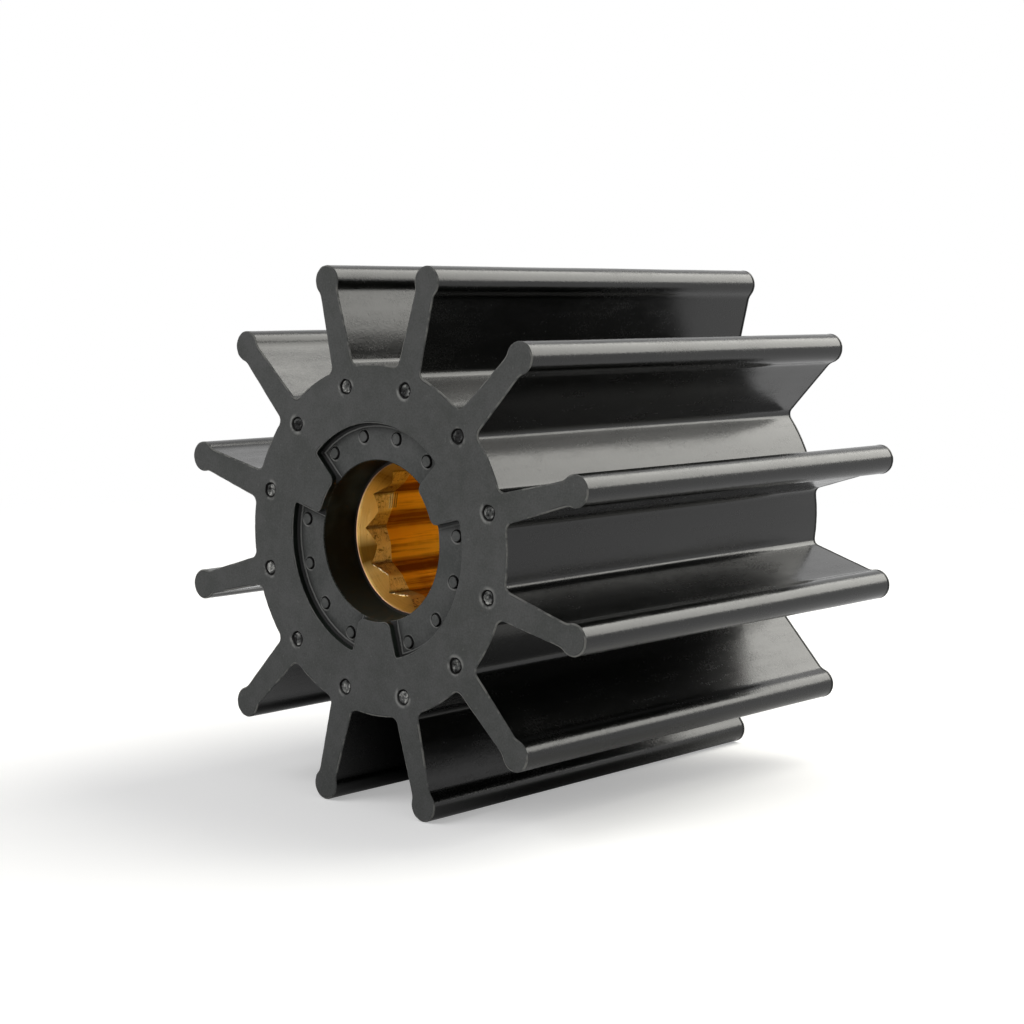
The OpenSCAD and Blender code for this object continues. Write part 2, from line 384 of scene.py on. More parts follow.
def recessThird(w):   # one tab, half a field on each side, and the throat below
    skin = Skin()
    (half, halfAway), joint = tabOutline(w)
    points, away = bothSides(half[::-1], halfAway[::-1])
    edge, wallFoot = w["recessEdge"], facePlane + recessFloor["depth"][0]
    stations = roundedEdge(w, edge, 0.75)
    stations += [(y, w["skin"], 0.2) for y in (facePlane + 0.45, facePlane + 0.8, wallFoot)]
    rows = [skin.add(level(points - away * inset, y), ragged=rough) for y, inset, rough in stations]
    skin.cover(rows[:4], kind=1, inward=True)
    skin.cover(rows[3:], kind=2, inward=True)

    limit = 180 / w["tabs"]
    brink = skin.add(level(points - away * (w["skin"] + edge + w["worn"]), facePlane), torn=0.1)
    skin.cover([brink, rows[0]], kind=1, inward=True)
    cap = skin.add(level(w["capRadius"] * sharedArc(limit), facePlane))
    skin.fill([brink + cap[::-1]], kind=1)

    middle = len(points) // 2
    ringRadius = throatRadius + w["skin"]
    turn = math.degrees(math.atan2(*half[joint][::-1]))
    fieldAngles = np.linspace(turn, limit, 24)
    lip = w["throatEdge"] * np.clip((fieldAngles - turn) / w["lipFade"], 0, 1) ** 2
    clearPath, clearThroat, clearSeam, clearMark = recessFloor["clear"]
    lower = {}
    for side in (1, -1):
        run = slice(middle + side * joint, None, side)
        path, pathOut, pathIndex = (points - away * w["skin"])[run], away[run], rows[-1][run]
        depthAt = lambda spots: facePlane + np.interp(
            distanceTo(path, spots), recessFloor["distance"], recessFloor["depth"])
        directions = turned(side * fieldAngles)
        top = (ringRadius + lip)[:, None] * directions
        topIndex = [pathIndex[0]] + skin.add(level(top, depthAt(top))[1:])
        lipRows = [topIndex]
        for share, drop in w["lipRows"]:
            spots = (ringRadius + lip * share)[:, None] * directions
            lipRows.append(skin.add(level(spots, depthAt(top) + lip * drop)))
        skin.cover(lipRows, kind=2, inward=side > 0)

        seamEnd = turned(side * limit)
        inward = np.array(recessFloor["distance"][1:] + recessFloor["seam"])
        seam = (norm(path[-1]) - inward)[:, None] * seamEnd
        seamIndex = skin.add(level(seam, depthAt(seam)))
        centres = [disc["ringRadius"] * turned(side * (limit - a)) for a in disc["angles"]]
        holes = [dimple(skin, centre, disc, depthAt) for centre in centres]
        spare = np.concatenate([path + pathOut * d for d in recessFloor["distance"][1:]])
        distance = np.repeat(recessFloor["distance"][1:], len(path))
        keep = distanceTo(path, spare) > distance - clearPath
        keep &= norm(spare, axis=1) > ringRadius + clearThroat
        keep &= side * np.degrees(np.arctan2(spare[:, 1], spare[:, 0])) < limit - clearSeam
        for centre in centres:
            keep &= norm(spare - centre, axis=1) > disc["radius"][0] + clearMark
        spareIndex = skin.add(level(spare[keep], depthAt(spare[keep])))
        skin.fill([pathIndex + seamIndex + topIndex[::-1][:-1]] + holes, spareIndex, kind=3)
        lower[side] = lipRows[-1]

    tabEnd = list(range(middle - joint, middle + joint + 1))
    brim = lower[-1][::-1][:-1] + [rows[-1][i] for i in tabEnd] + lower[1][1:]
    around = np.array([skin.points[i][:2] for i in brim])
    around = ringRadius * around / norm(around, axis=1)[:, None]
    ledge = front + w["sleeveSetback"]
    depths = [facePlane + depth for depth in w["throatRows"]] + [ledge]
    throat = [brim] + [skin.add(level(around, y)) for y in depths]
    skin.cover(throat, kind=2, inward=True)
    socket = skin.add(level(w["sleeve"] / 2 * sharedArc(limit), ledge))
    skin.fill([throat[-1] + socket[::-1]], kind=2, flip=True)
    return skin.build("recessThird")


# Geometry Nodes: sectors repeated round the shaft, welded, and made uneven

def openTree(name, **inputs):   # a shape tree with named inputs of each kind
    tree = bpy.data.node_groups.new(name, "GeometryNodeTree")
    tree.interface.new_socket("Geometry", in_out="OUTPUT", socket_type="NodeSocketGeometry")
    for kind, labels in {"Geometry": "Geometry", **inputs}.items():
        for label in labels.split(", "):
            tree.interface.new_socket(label, in_out="INPUT", socket_type="NodeSocket" + kind)
    bench = Bench(tree)
    return bench, bench.node("NodeGroupInput").out


def repeatRound(bench, shape, copies, firstAngle):   # copies of a sector, turned about the shaft
    angle = (firstAngle + bench.node("GeometryNodeInputIndex") * (360.0 / copies)) * (-math.pi / 180)
    points = bench.node("GeometryNodePoints", {"Count": copies})
    sockets = {"Points": points, "Instance": shape, "Rotation": bench.vector(0.0, angle, 0.0)}
    placed = bench.node("GeometryNodeInstanceOnPoints", sockets)
    return bench.node("GeometryNodeRealizeInstances", {"Geometry": placed})


def attribute(bench, name, kind="FLOAT"):
    return bench.node("GeometryNodeInputNamedAttribute", {"Name": name}, data_type=kind)


def paintKinds(bench, shape, materials):   # one material for each kind of face
    for kind, material in enumerate(materials):
        chosen = bench.node("FunctionNodeCompare", {2: attribute(bench, "kind", "INT"), 3: kind},
                            data_type="INT", operation="EQUAL")
        sockets = {"Geometry": shape, "Selection": chosen, "Material": material}
        shape = bench.node("GeometryNodeSetMaterial", sockets)
    return shape


def wheelTree(w):
    bench, given = openTree(
        "wheelShape", Int="Blades, Tabs", Object="Recess", Material="Moulded, Trimmed, Bore, Floor",
        Float="First blade, First tab, Unevenness, Raggedness, Tear, Stray, Seed")
    recess = bench.node("GeometryNodeObjectInfo", {"Object": given("Recess")}).out("Geometry")
    blades = repeatRound(bench, given("Geometry"), given("Blades"), given("First blade"))
    thirds = repeatRound(bench, recess, given("Tabs"), given("First tab"))
    joined = bench.node("GeometryNodeJoinGeometry", {"Geometry": [blades, thirds]})
    welded = bench.node("GeometryNodeMergeByDistance", {"Geometry": joined, "Distance": seamWeld})
    place, normal = bench.node("GeometryNodeInputPosition"), bench.node("GeometryNodeInputNormal")
    split = bench.node("ShaderNodeSeparateXYZ", {0: normal})
    sideways = bench.vectorMath("NORMALIZE", bench.vector(split, 0.0, split.out(2)))
    noise = lambda name, seed: (bench.noise(place, *w["noise"][name], seed) - 0.5) * attribute(bench, name)
    swell = lambda name, amount: noise(name, given("Seed")) * given(amount) * 2
    across = swell("wavy", "Unevenness") + swell("ragged", "Raggedness")
    outward = swell("torn", "Tear")
    moved = bench.vectorMath("ADD", bench.scaled(sideways, across), bench.scaled(normal, outward))
    shiftX, shiftZ = (noise("loose", seed) * given("Stray") for seed in (5.0, 6.0))
    moved = bench.vectorMath("ADD", moved, bench.vector(shiftX, 0.0, shiftZ))
    shape = bench.node("GeometryNodeSetPosition", {"Geometry": welded, "Offset": moved})
    shape = paintKinds(bench, shape, [given(n) for n in ("Moulded", "Trimmed", "Bore", "Floor")])
    bench.node("NodeGroupOutput", {0: shape})
    return bench.tree


def newObject(name, data):
    thing = bpy.data.objects.new(name, data)
    scene.collection.objects.link(thing)
    return thing


def shaped(name, mesh, tree, creaseAngle, values):   # what the tree makes of it, as a plain, closed mesh
    holder = newObject(name, mesh)
    modifier = holder.modifiers.new("shape", "NODES")
    modifier.node_group = tree
    for item in tree.interface.items_tree:
        if item.name in values:
            modifier[item.identifier] = values[item.name]
    graph = bpy.context.evaluated_depsgraph_get()
    mesh = bpy.data.meshes.new_from_object(holder.evaluated_get(graph), depsgraph=graph)
    holder.modifiers.clear()
    holder.data = mesh
    work = bmesh.new()
    work.from_mesh(mesh)
    bmesh.ops.remove_doubles(work, verts=work.verts, dist=lastWeld)
    loose = [e for e in work.edges if not e.link_faces]
    bmesh.ops.delete(work, geom=loose, context="EDGES")
    bmesh.ops.recalc_face_normals(work, faces=work.faces)
    openEdges = 0
    for edge in work.edges:
        around = edge.link_faces
        openEdges += len(around) != 2
        oneMaterial = len({face.material_index for face in around}) == 1
        edge.smooth = oneMaterial and edge.calc_face_angle(math.pi) < creaseAngle
    for face in work.faces:
        face.smooth = True
    work.to_mesh(mesh)
    work.free()
    print(name, len(mesh.polygons), "faces,", openEdges, "open edges")
    return holder


# the sleeve

sleeve = {
    "outer": 34.0, "setback": 8.9, "cone": 26.2, "coneAngle": 27.0, "grooves": 12, "firstGroove": 28.0,
    "grooveDiameter": 24.7, "landDiameter": 22.9, "entryDepth": 15.5, "entryStep": 0.05,
    "rimRing": 13.6, "bevel": (0.06, 0.04),   # points on the flat rim, and its bevel outward and inward
    "stepRows": (0.08, 0.14),   # short rows behind the step, so that it doesn't glint
    "bottomLine": (12.12, 12.3), "landLine": (11.5, 11.58),   # radii of the dark and the bright lines
    "tear": 0.05, "seed": 9.0, "noise": (1400, 2, 0.5),
}
turnedKind, entryKind, deepKind = range(3)


def splineHalf(s):   # half a groove, from the land's edge to its bottom
    share = np.array([1, 0.985, 0.95, 0.88, 0.75, 0.6, 0.45, 0.3, 0.15, 0.06, 0.02, 0])
    relief = np.array([0.035, 0.01, 0, 0, 0, 0, 0, 0, 0, 0, -0.008, -0.03])
    groove, land = s["grooveDiameter"] / 2 * turned(0), s["landDiameter"] / 2 * turned(180 / s["grooves"])
    points = groove + share[:, None] * (land - groove)
    return points + relief[:, None] * points / norm(points, axis=1)[:, None]


def sleeveSector(s):   # one groove and half a land on each side, from end to end
    skin = Skin()
    half = splineHalf(s)
    points = bothSides(half, half)[0]
    radius = norm(points, axis=1)
    direction = points / radius[:, None]
    mouth, coneRadius, slope = front + s["setback"], s["cone"] / 2, math.tan(math.radians(s["coneAngle"]))
    full = np.ones(len(radius))
    out, into = s["bevel"]
    rim = [(s["outer"] / 2, 0), (s["rimRing"], 0), (coneRadius + out, 0), (coneRadius, into)]
    rows = [(r * full, (mouth + y) * full, turnedKind) for r, y in rim]
    for share in np.linspace(0, 1, 9)[1:]:
        cone = coneRadius + (radius - coneRadius) * share
        rows.append((cone, mouth + into * (1 - share) + (coneRadius - cone) / slope, turnedKind))
    coneEnd, entryEnd = rows[-1][1], front + s["entryDepth"]
    rows += [(radius, coneEnd + (entryEnd - coneEnd) * t, entryKind) for t in (0.03, 0.25, 0.5, 0.75, 1)]
    deep, (first, second) = radius + s["entryStep"], s["stepRows"]
    deepRows = entryEnd + first, *np.linspace(entryEnd + second, 0, 9)
    rows += [(deep, y * full, deepKind) for y in deepRows]
    rows += [(r, -y, kind) for r, y, kind in rows[-2::-1]]
    rows.append((s["outer"] / 2 * full, 0 * full, turnedKind))
    torn = {turnedKind: 0.0, entryKind: 0.25, deepKind: 0.0}
    made = [skin.add(level(r[:, None] * direction, y), torn=torn[kind]) for r, y, kind in rows]
    kinds = [max(a[2], b[2]) for a, b in zip(rows, rows[1:])] + [turnedKind]
    for a, b, kind in zip(made, made[1:] + made[:1], kinds):
        skin.cover([a, b], kind=kind, inward=True)
    return skin.build("sleeveSector")


def sleeveTree(s):
    bench, given = openTree(
        "sleeveShape", Int="Grooves", Float="First groove, Tear, Seed", Material="Turned, Entry, Deep")
    sectors = repeatRound(bench, given("Geometry"), given("Grooves"), given("First groove"))
    welded = bench.node("GeometryNodeMergeByDistance", {"Geometry": sectors, "Distance": seamWeld})
    place, normal = bench.node("GeometryNodeInputPosition"), bench.node("GeometryNodeInputNormal")
    tear = bench.noise(place, *s["noise"], given("Seed")) - 0.5
    offset = bench.scaled(normal, tear * attribute(bench, "torn") * given("Tear") * 2)
    shape = bench.node("GeometryNodeSetPosition", {"Geometry": welded, "Offset": offset})
    shape = paintKinds(bench, shape, [given(n) for n in ("Turned", "Entry", "Deep")])
    bench.node("NodeGroupOutput", {0: shape})
    return bench.tree


# burrs left where the tool ran out of the cone into the grooves

burrs = {
    # each run: angle in the groove, angle on the land, thickness
    "runs": [(208, 223, 0.25), (238, 253, 0.26), (58, 73, 0.16), (328, 313, 0.16)],
    "reach": (0.08, 0.97), "steps": 40, "sides": 7, "taper": 0.6, "stray": 0.45, "seed": 3.0,
    "strayNoise": (1100, 2, 0.5), "thickNoise": (1700, 2, 0.6),
}


def burrLines(b, s):   # a line for each run, where the cone cuts the groove
    points, edges, thickness = [], [], []
    slope = math.tan(math.radians(s["coneAngle"]))
    for groove, land, thick in b["runs"]:
        start = s["grooveDiameter"] / 2 * turned(groove)
        end = s["landDiameter"] / 2 * turned(land)
        first = len(points)
        for share in np.linspace(*b["reach"], b["steps"]):
            u, v = start + (end - start) * share
            y = front + s["setback"] + (s["cone"] / 2 - math.hypot(u, v)) / slope
            points.append((u * mm, y * mm, v * mm))
            thickness.append(thick * mm * math.sin(math.pi * share) ** b["taper"])
        edges += [(i, i + 1) for i in range(first, len(points) - 1)]
    mesh = bpy.data.meshes.new("burrLines")
    mesh.from_pydata(points, edges, [])
    mesh.attributes.new("thickness", "FLOAT", "POINT").data.foreach_set("value", thickness)
    return mesh


def burrTree(b):
    bench, given = openTree("burrShape", Int="Sides", Float="Stray, Seed", Material="Metal")
    curve = bench.node("GeometryNodeMeshToCurve", {"Mesh": given("Geometry")})
    place = bench.node("GeometryNodeInputPosition")
    stray = bench.noise(place, *b["strayNoise"], given("Seed")).out("Color")
    stray = bench.scaled(bench.vectorMath("SUBTRACT", stray, (0.5, 0.5, 0.5)), given("Stray"))
    curve = bench.node("GeometryNodeSetPosition", {"Geometry": curve, "Offset": stray})
    thick = bench.noise(place, *b["thickNoise"], given("Seed")).ramp(0.3, 0.7) + 0.15
    thick = attribute(bench, "thickness") * thick
    profile = bench.node("GeometryNodeCurvePrimitiveCircle", {"Resolution": given("Sides"), "Radius": 1.0})
    shape = bench.node("GeometryNodeCurveToMesh", {
        "Curve": curve, "Profile Curve": profile, "Scale": thick, "Fill Caps": True})
    shape = bench.node("GeometryNodeSetMaterial", {"Geometry": shape, "Material": given("Metal")})
    bench.node("NodeGroupOutput", {0: shape})
    return bench.tree


# materials

class Place:   # where a shader looks on the part, in metres
    def __init__(self, bench):
        self.bench = bench
        self.spot = bench.node("ShaderNodeTexCoord").out("Object")
        self.x = bench.node("ShaderNodeSeparateXYZ", {0: self.spot})
        self.y, self.z = self.x.out(1), self.x.out(2)

    @cached_property
    def radius(self): return (self.x * self.x + self.z * self.z) ** 0.5

    @cached_property
    def angle(self): return self.z.maths("ARCTAN2", self.z, self.x)   # round the shaft, in radians

    def stretched(self, x, y, z):   # small factors draw a noise out
        return self.bench.vector(self.x * x, self.y * y, self.z * z)

    def noises(self, table):   # in the order of the table
        for scale, detail, rough, seed, *factors in table.values():
            spot = self.stretched(*factors) if factors else self.spot
            yield self.bench.noise(spot, scale, detail, rough, seed)


def openMaterial(name):
    made = bpy.data.materials.new(name)
    made.use_nodes = True
    made.node_tree.nodes.clear()
    return made, Bench(made.node_tree)


def material(name, s, look):   # look gives colour, roughness, bump height, metal
    made, bench = openMaterial(name)
    colour, rough, height, metal = look(s, bench, Place(bench))
    strength, depth = s["bump"]
    bump = bench.node("ShaderNodeBump", {"Strength": strength, "Distance": depth * mm, "Height": height})
    shader = bench.node("ShaderNodeBsdfPrincipled", {
        "Base Color": colour, "Roughness": rough, "Metallic": metal,
        "Specular IOR Level": s.get("specular", 0.5), "Normal": bump})
    bench.node("ShaderNodeOutputMaterial", {0: shader})
    return made


def marked(bench, *names):   # what the mesh says of a place
    return [bench.node("ShaderNodeAttribute", out="Fac", attribute_name=name) for name in names]


def folded(angle, step, first):   # the angle from the middle of the nearest of equal sectors
    turn = (angle - math.radians(first)) / math.radians(step)
    return (turn - turn.nearest()) * math.radians(step)


def between(value, low, high, soft):   # 1 from low to high, fading over soft on both sides
    return value.ramp(low - soft, low + soft) * (1 - value.ramp(high - soft, high + soft))


def sidesOfMark(at, fromMark, ringRadius):   # how far to the right and how far down left of its middle, for painted shade on the right and painted light on the lower left
    middle = at.angle - fromMark
    across, up = at.x / mm - middle.cosine() * ringRadius, at.z / mm - middle.sine() * ringRadius
    return (across * 0.8 - up * 0.05).ramp(-0.35, 0.75), (across * -0.5 - up * 0.8).ramp(0.35, 1.05)


def paintFadeOnRight(at):   # on the right, painted edge highlights and painted shade fade out, but a painted shadow stays along one wall
    rightSideFade = ((at.x + at.z * 0.15) / at.radius).ramp(0.2, 0.5) * 0.85
    return rightSideFade, rightSideFade * (1 - between(at.z / at.radius, 0.19, 0.32, 0.03) * 0.75)


mouldedRubber = {
    "dark": (0.001, 0.0012, 0.001), "light": (0.0026, 0.0028, 0.0024), "bloom": (0.01, 0.01, 0.009),
    "rough": 0.225, "specular": 0.36, "bump": (0.7, 0.032),
    "noise": {
        "cloud": (55, 3, 0.55, 1), "grain": (2600, 2, 0.6, 2),
        "bloom": (900, 3, 0.65, 4), "area": (90, 2, 0.5, 5),
        "drawn": (700, 2, 0.6, 3, 1, 0.06, 1),   # faint lines along the mould
        "mottle": (420, 3, 0.65, 13, 1, 0.3, 1)},   # uneven gloss, longer along the mould
}


def mouldedLook(s, bench, at):
    cloud, grain, bloom, area, drawn, mottle = at.noises(s["noise"])
    rough = s["rough"] + (cloud - 0.5) * 0.2 + (drawn - 0.5) * 0.12 + (grain - 0.5) * 0.25
    rough = rough + (mottle - 0.5) * 0.24
    colour = bench.mixed(cloud.ramp(0.3, 0.7), s["dark"], s["light"])
    colour = bench.mixed(bloom.ramp(0.6, 0.75) * area.ramp(0.5, 0.7) * 0.6, colour, s["bloom"])
    return colour, rough, grain * 0.75 + drawn * 0.25, 0.0


trimmedRubber = {
    "dark": (0.048, 0.051, 0.048), "light": (0.084, 0.085, 0.085), "dust": (0.13, 0.132, 0.126),
    # the edge colour is partly a painted highlight; the darkest colour is painted shade as well as dirt and
    # torn spots; the torn colour also carries painted light
    "edge": (0.165, 0.165, 0.155), "soot": (0.002, 0.002, 0.002), "torn": (0.55, 0.55, 0.53),
    "rough": 0.66, "specular": 0.25, "bump": (0.6, 0.04),
    "recess": (22.0, 21.5),   # radii over which the recess begins
    "noise": {
        "cloud": (70, 3, 0.6, 5), "blotch": (420, 3, 0.6, 6), "grain": (3000, 2, 0.6, 7),
        "fibre": (1500, 3, 0.7, 9), "flake": (900, 2, 0.6, 10), "patch": (300, 1, 0.5, 11),
        "speck": (1100, 1, 0.4, 8), "shred": (760, 2, 0.55, 12), "nubTone": (85, 1, 0.5, 14)},
}


def trimmedLook(s, bench, at):
    cloud, blotch, grain, fibre, flake, patch, speck, shred, nubTone = at.noises(s["noise"])
    ragged, dirt, pale, torn = marked(bench, "ragged", "dirt", "pale", "torn")
    # a pale broken line along the worn edges, partly wear and partly painted highlight
    edge = ragged.ramp(0.5, 0.95) * (flake * 0.45 + patch * 0.55).ramp(0.44, 0.56)
    edgeShade = between(ragged, 0.1, 0.55, 0.08) * patch.ramp(0.52, 0.62)   # painted shade: a dark line inside the worn edge
    highlightFade, rightSideFade = paintFadeOnRight(at)
    recess = (at.radius / mm).ramp(*s["recess"])
    nub = torn.ramp(0.9, 1.5)
    shred = shred + (nubTone - 0.5) * 0.65   # some nubs are mostly dark, some mostly bright
    fromPit = folded(at.angle, 360 / wheel["blades"], wheel["firstBlade"])
    right, lowLeft = sidesOfMark(at, fromPit, pit["ringRadius"])
    # dirt and painted shade in each pit's moat, heavier on the right side
    soot = (dirt * (right + 0.75)).ramp(0.2, 0.5) * flake.ramp(0.2, 0.38)
    soot = soot.most(nub * (1 - shred.ramp(0.38, 0.45)))
    # painted light on the lower left of each pit's rim
    paintedLitCrescent = lowLeft * (patch * 0.5 + flake * 0.5).ramp(0.4, 0.56)
    halo = pale * (1 - nub) * (patch.ramp(0.52, 0.62) * 0.8).most(paintedLitCrescent)
    # the pale torn colour also carries the rim with its painted light
    torn = (nub * shred.ramp(0.47, 0.6) * (0.15 + fibre.ramp(0.4, 0.6) * 0.7)).most(halo * 0.32)
    tone = (cloud * 0.35 + blotch * 0.3 + grain * 0.35).ramp(0.36, 0.64)
    colour = bench.mixed(speck.ramp(0.69, 0.77) * 0.35, bench.mixed(tone, s["dark"], s["light"]), s["dust"])
    colour = bench.mixed(edge * (1 - highlightFade * recess) * 0.85, colour, s["edge"])
    colour = bench.mixed(edgeShade * (1 - rightSideFade * recess) * 0.65, colour, s["soot"])
    colour = bench.mixed(torn, bench.mixed(soot, colour, s["soot"]), s["torn"])
    rough = s["rough"] + (blotch - 0.5) * 0.2 - torn * 0.25
    return colour, rough, grain * 0.4 + fibre * 0.3 + blotch * 0.3, 0.0


boreRubber = {
    "colour": (0.0028, 0.0042, 0.003), "dust": (0.02, 0.026, 0.021), "lip": (0.1, 0.1, 0.095),
    "rough": 0.45, "specular": 0.15, "bump": (0.4, 0.03),
    "lipPlace": (1.3, 1.72, 0.06), "lipRadius": (14.2, 14.0),
    "noise": {"cloud": (120, 3, 0.6, 11), "grain": (2200, 2, 0.6, 12)},
}


def boreLook(s, bench, at):
    cloud, grain = at.noises(s["noise"])
    low = (0 - at.z / at.radius).ramp(0.45, 1.0)   # lighter towards the bottom of the throat, and a pale line along its lip
    lip = between(at.y / mm - front, *s["lipPlace"]) * (at.radius / mm).ramp(*s["lipRadius"])
    lip = lip * grain.ramp(0.4, 0.55)
    dust = cloud.ramp(0.45, 0.75).most(low * (0.6 + grain * 0.4))
    colour = bench.mixed(dust, s["colour"], s["dust"])
    colour = bench.mixed(lip * (0.25 + low * 0.75), colour, s["lip"])
    return colour, s["rough"] + (cloud - 0.5) * 0.2, grain, 0.0


floorRubber = {
    # the darkest colour is painted shade as well as dirt; the ridge colour is partly painted highlight and
    # painted light
    "dark": (0.046, 0.049, 0.047), "light": (0.08, 0.0815, 0.081), "soot": (0.002, 0.002, 0.002),
    "ridge": (0.2, 0.2, 0.195), "rough": 0.6, "specular": 0.25, "bump": (0.5, 0.03),
    # distances from the wall: painted shade at its foot, a pale ridge line that is partly painted highlight,
    # painted shade in the dip beyond, and painted shade fading away from it
    "wallSoot": (0.3, 0.42), "ridgeLine": (0.42, 0.56, 0.05), "sootLine": (0.66, 0.82, 0.07),
    "haze": (0.5, 1.9),
    "noise": {
        "cloud": (160, 3, 0.6, 15), "grain": (2600, 2, 0.6, 16), "fibre": (1500, 3, 0.7, 17),
        "flake": (800, 2, 0.6, 18)},
}


def floorLook(s, bench, at):   # painted shade and a pale ridge line, partly painted highlight, along the wall; dirt and painted shade round each disc, and painted light on its lower left
    cloud, grain, fibre, flake = at.noises(s["noise"])
    dirt, pale = marked(bench, "dirt", "pale")
    third, (firstDisc, secondDisc) = 360 / wheel["tabs"], disc["angles"]
    beside = abs(folded(at.angle, third, wheel["firstTab"])) - math.radians(wheel["tabAngle"] / 2)
    fromDisc = folded(at.angle, third, wheel["firstTab"] + third / 2)
    fromDisc = folded(fromDisc, secondDisc - firstDisc, firstDisc)
    right, lowLeft = sidesOfMark(at, fromDisc, disc["ringRadius"])
    fromWall = (wheel["recess"] / 2 - at.radius / mm).least(at.radius * beside.sine() / mm)
    fromWall = fromWall + (flake - 0.5) * 0.12
    highlightFade, rightSideFade = paintFadeOnRight(at)
    # a pale line on the ridge, partly painted highlight, left out on the right side
    ridge = between(fromWall, *s["ridgeLine"]) * (1 - highlightFade)
    # painted shade at the foot of the wall, in the dip and fading away from it, left out on the right side
    soot = (1 - fromWall.ramp(*s["wallSoot"])).most(between(fromWall, *s["sootLine"]) * 0.75)
    soot = soot.most((1 - fromWall.ramp(*s["haze"])) * 0.4) * (1 - rightSideFade)
    # dirt and painted shade in each disc's groove, heavier on the right side
    soot = soot.most((dirt * (right * 1.6 + 0.45)).ramp(0.25, 0.6) * flake.ramp(0.15, 0.35))
    colour = bench.mixed((cloud * 0.6 + grain * 0.4).ramp(0.35, 0.65), s["dark"], s["light"])
    colour = bench.mixed(ridge * 0.6, bench.mixed(soot, colour, s["soot"]), s["ridge"])
    # painted light on the lower left of each disc's pale rim, with pale patches
    halo = pale * lowLeft.most((flake * 0.5 + fibre * 0.5).ramp(0.48, 0.6) * 0.4)
    colour = bench.mixed(halo, colour, s["ridge"])
    return colour, s["rough"] + (cloud - 0.5) * 0.15, grain * 0.6 + fibre * 0.4, 0.0


def fans(angle, spots):   # soft patches round the shaft: middle, half width, share
    total = 0.0
    for middle, half, share in spots:
        total = (1 - abs(folded(angle, 360, middle)).ramp(0.0, math.radians(half))) * share + total
    return total


turnedBrass = {
    "dark": (0.26, 0.13, 0.018), "light": (1.0, 0.66, 0.22), "rim": (0.62, 0.36, 0.22),
    "film": (0.02, 0.013, 0.01), "rough": 0.32, "bump": (1.0, 0.06),
    # patches round the shaft that darken the turned face: painted shade in fans
    "tarnish": [(199, 17, 1.3), (128, 20, 0.8), (62, 22, 0.5), (318, 25, 0.6)],
    "lathe": (5200, 3, 0.7, 20), "nick": (1500, 2, 0.6, 22),
    "smear": (1, 3, 0.6, 21), "smearScale": (150, 4.5),
}


def turnedLook(s, bench, at):
    lathe = bench.noise(bench.vector(at.radius, 0.0, 0.0), *s["lathe"])   # rings left by the lathe
    perRadius, perAngle = s["smearScale"]
    smear = bench.noise(bench.vector(at.radius * perRadius, at.angle * perAngle, 0.0), *s["smear"])
    nick = bench.noise(at.spot, *s["nick"])
    # painted shade in fans round the shaft
    share = (lathe * 0.35 + smear * 0.65).ramp(0.16, 0.5) - fans(at.angle, s["tarnish"])
    colour = bench.mixed(share.most(0.0), s["dark"], s["light"])
    fromRim = at.radius / mm - sleeve["cone"] / 2
    film = (fromRim + (smear - 0.5) * 0.12).ramp(0.03, 0.08)   # rubber left on the flat end of the sleeve
    colour = bench.mixed(nick.ramp(0.68, 0.74) * 0.6, colour, s["dark"])
    colour = bench.mixed(film, bench.mixed(fromRim.ramp(-0.06, 0.0), colour, s["rim"]), s["film"])
    rough = s["rough"] + (smear - 0.5) * 0.25 + (lathe - 0.5) * 0.1 + film * 0.25
    return colour, rough, lathe, 1 - film


toolMarks = {   # fine rings cut across one groove's flank: depths, and the flank's angles
    "depths": (14.8, 15.4, 16.0, 16.5), "half": 0.11, "soft": 0.06, "fade": 0.1, "flank": (149, 161.5, 0.8),
}


def toolRings(at, t):   # 1 in a ring, and 1 on the flank as far in as they go
    depth, flank = at.y / mm - front, between(at.angle * (180 / math.pi), *t["flank"])
    lines = [between(depth, d - t["half"], d + t["half"], t["soft"]) for d in t["depths"]]
    last = t["depths"][-1]
    return reduce(Wire.most, lines) * flank, (1 - depth.ramp(last, last + t["fade"])) * flank


def edgeLines(bench, at, colour, s):   # painted shade along the bottom of each groove, and a bright line along each land, partly burr and partly painted highlight
    colour = bench.mixed((at.radius / mm).ramp(*sleeve["bottomLine"]) * 0.75, colour, s["dark"])
    return bench.mixed((1 - (at.radius / mm).ramp(*sleeve["landLine"])) * 0.7, colour, s["light"])


entryBrass = {
    "dark": (0.13, 0.07, 0.014), "light": (1.0, 0.84, 0.38), "rough": 0.4, "bump": (1.0, 0.08),
    "worked": (4600, 3, 0.7, 29), "workedScale": 0.0012, "bright": (-120, -105, 2.0),
    "noise": {
        "grain": (2100, 4, 0.75, 25), "cloud": (480, 2, 0.6, 26),
        "tears": (1500, 3, 0.7, 27, 1, 0.4, 1), "scratch": (2600, 3, 0.7, 28, 0.5, 1, 0.3)},
}


def entryLook(s, bench, at):
    grain, cloud, tears, scratch = at.noises(s["noise"])
    rings = toolRings(at, toolMarks)[0]
    spot = bench.vector(at.y, at.angle * s["workedScale"], 0.0)
    worked = bench.noise(spot, *s["worked"])   # marks of the tool's turning
    share = (grain * 0.3 + cloud * 0.2 + scratch * 0.2 + worked * 0.3).ramp(0.32, 0.56)
    share = share * (1 - tears.ramp(0.56, 0.64) * 0.7)
    # painted highlight on the lower facets, between -120 and -105 degrees round the shaft
    share = share.most(between(at.angle * (180 / math.pi), *s["bright"]) * 0.9)
    colour = edgeLines(bench, at, bench.mixed(share, s["dark"], s["light"]), s)
    colour = bench.mixed(rings * 0.85, colour, s["dark"])
    return colour, s["rough"] + (grain - 0.5) * 0.3, grain - rings, 1.0


